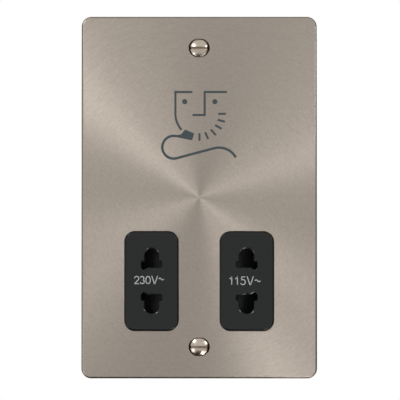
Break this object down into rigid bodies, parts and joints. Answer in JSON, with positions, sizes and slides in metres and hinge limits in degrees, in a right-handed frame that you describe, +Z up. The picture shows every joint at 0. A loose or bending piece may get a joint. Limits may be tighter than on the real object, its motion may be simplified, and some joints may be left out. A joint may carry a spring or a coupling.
{
  "type": "shaver socket",
  "caption": "Flush dual-voltage shaver socket: flat brushed metal plate with black shuttered outlets and screw fixings over a deep rear housing with a transformer.",
  "frame": {"origin": "centre of the plane where the rear face of the rim meets the wall", "axes": "+Z up, +Y into the wall along the fixing screws, +X to the right seen from the front"},
  "size_m": [0.095, 0.0471, 0.146],
  "materials": {
    "plate_metal": "brushed, satin nickel colour",
    "black_moulding": "satin black",
    "insert_face": "satin black",
    "bright_screws": "bright nickel",
    "shutter_plastic": "matt black",
    "spring_steel": "drawn wire",
    "carrier_plastic": "natural nylon",
    "contact_strip": "rolled bronze strip",
    "switch_case": "moulded",
    "plunger_plastic": "moulded",
    "zinc_steel": "zinc plated",
    "core_steel": "varnished laminations",
    "bobbin_plastic": "moulded nylon",
    "winding_copper": "enamelled copper wire",
    "cutout_case": "moulded",
    "housing_plastic": "light grey",
    "block_plastic": "moulded",
    "terminal_brass": "machined",
    "strap_metal": "tinned strip"
  },
  "bodies": {
    "unit": {"front_plate": "plate_metal", "front_moulding": "black_moulding", "left_outlet_insert": "insert_face", "right_outlet_insert": "insert_face", "fixing_screws": "bright_screws", "left_shutter_spring": "spring_steel", "right_shutter_spring": "spring_steel", "contact_carrier": "carrier_plastic", "left_upper_contact": "contact_strip", "left_lower_contact": "contact_strip", "right_upper_contact": "contact_strip", "right_lower_contact": "contact_strip", "left_microswitch": "switch_case", "right_microswitch": "switch_case", "carrier_screws": "zinc_steel", "core_e_laminations": "core_steel", "core_i_laminations": "core_steel", "bobbin": "bobbin_plastic", "primary_winding": "winding_copper", "secondary_winding": "winding_copper", "thermal_cutout": "cutout_case", "rear_housing": "housing_plastic", "housing_screws": "zinc_steel", "terminal_block": "block_plastic", "terminal_screws": "zinc_steel", "neutral_terminal": "terminal_brass", "live_terminal": "terminal_brass", "earth_terminal": "terminal_brass", "earth_strap": "strap_metal"},
    "left_shutter": {"left_shutter": "shutter_plastic"},
    "right_shutter": {"right_shutter": "shutter_plastic"},
    "left_plunger": {"left_switch_plunger": "plunger_plastic"},
    "right_plunger": {"right_switch_plunger": "plunger_plastic"}
  },
  "joints": [
    {"name": "left_shutter_slide", "type": "slide", "parent": "unit", "child": "left_shutter", "axis": [1, 0, 0], "range_m": [0, 0.008], "stiffness_N_per_m": 150, "springref_m": -0.003, "deforming": ["left_shutter_spring"]},
    {"name": "right_shutter_slide", "type": "slide", "parent": "unit", "child": "right_shutter", "axis": [-1, 0, 0], "range_m": [0, 0.008], "stiffness_N_per_m": 150, "springref_m": -0.003, "deforming": ["right_shutter_spring"]},
    {"name": "left_plunger_slide", "type": "slide", "parent": "unit", "child": "left_plunger", "axis": [0, 1, 0], "range_m": [0, 0.001]},
    {"name": "right_plunger_slide", "type": "slide", "parent": "unit", "child": "right_plunger", "axis": [0, 1, 0], "range_m": [0, 0.001]}
  ],
  "couplings": [
    {"joint": "left_plunger_slide", "follows": "left_shutter_slide", "ratio": 0.125},
    {"joint": "right_plunger_slide", "follows": "right_shutter_slide", "ratio": 0.125}
  ]
}
